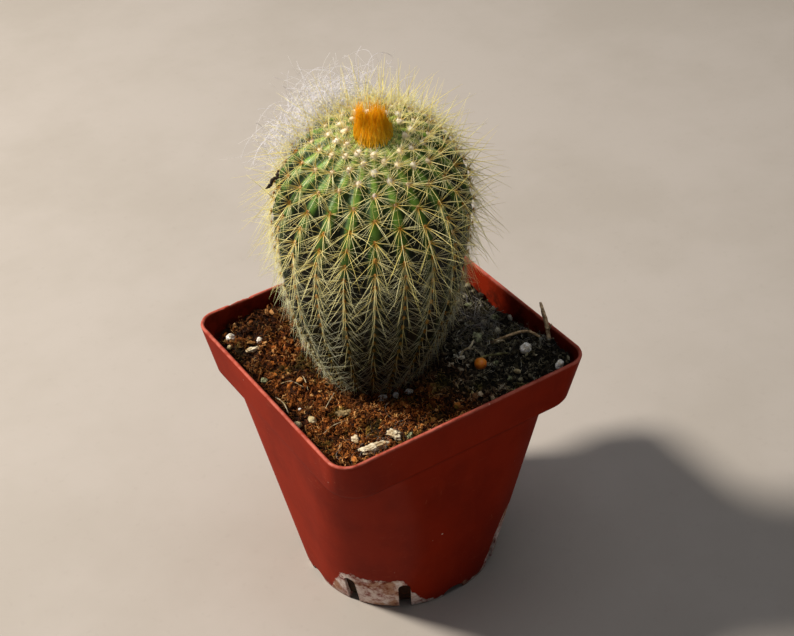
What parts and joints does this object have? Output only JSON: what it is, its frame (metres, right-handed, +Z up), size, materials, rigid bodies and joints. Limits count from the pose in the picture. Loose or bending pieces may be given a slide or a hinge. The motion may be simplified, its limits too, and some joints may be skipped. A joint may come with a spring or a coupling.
{
  "type": "potted round cactus",
  "caption": "Small ribbed barrel cactus with golden spines, a golden crown tuft and a mat of white hair, in a square red-brown plastic nursery pot.",
  "frame": {"origin": "middle of the pot's foot, on the surface that it stands on", "axes": "+Z up along the pot; X and Y run square to the pot's sides, and -X and -Y are the two sides seen from the front corner"},
  "size_m": [0.089, 0.089, 0.1703],
  "materials": {
    "pot_plastic": "gloss",
    "potting_mix": "matte",
    "cactus_skin": "satin",
    "spines": "satin",
    "young_spines": "matte",
    "white_hair": "matte",
    "perlite": "matte",
    "bead_coating": "satin",
    "pale_bark": "matte",
    "dry_wood": "matte",
    "old_root": "matte",
    "pale_fibre": "matte",
    "dark_flake": "matte"
  },
  "bodies": {
    "root": {"pot": "pot_plastic", "soil": "potting_mix", "cactus_stem": "cactus_skin", "spine_row_01": "spines", "spine_row_02": "spines", "spine_row_03": "spines", "spine_row_04": "spines", "spine_row_05": "spines", "spine_row_06": "spines", "spine_row_07": "spines", "spine_row_08": "spines", "spine_row_09": "spines", "spine_row_10": "spines", "spine_row_11": "spines", "spine_row_12": "spines", "spine_row_13": "spines", "spine_row_14": "spines", "spine_row_15": "spines", "spine_row_16": "spines", "spine_row_17": "spines", "spine_row_18": "spines", "spine_row_19": "spines", "spine_row_20": "spines", "spine_row_21": "spines", "apical_tuft": "young_spines", "crown_hair": "white_hair", "perlite_01": "perlite", "perlite_02": "perlite", "perlite_03": "perlite", "perlite_04": "perlite", "perlite_05": "perlite", "perlite_06": "perlite", "perlite_07": "perlite", "perlite_08": "perlite", "perlite_09": "perlite", "perlite_10": "perlite", "perlite_11": "perlite", "perlite_12": "perlite", "perlite_13": "perlite", "perlite_14": "perlite", "fertilizer_bead": "bead_coating", "bark_chip_01": "pale_bark", "bark_chip_02": "pale_bark", "bark_chip_03": "pale_bark", "bark_chip_04": "pale_bark", "bark_chip_05": "pale_bark", "dry_twig": "dry_wood", "root_strand": "old_root", "fibre_01": "pale_fibre", "fibre_02": "pale_fibre", "fibre_03": "pale_fibre", "fibre_04": "pale_fibre", "debris_chip": "dark_flake"}
  },
  "joints": []
}
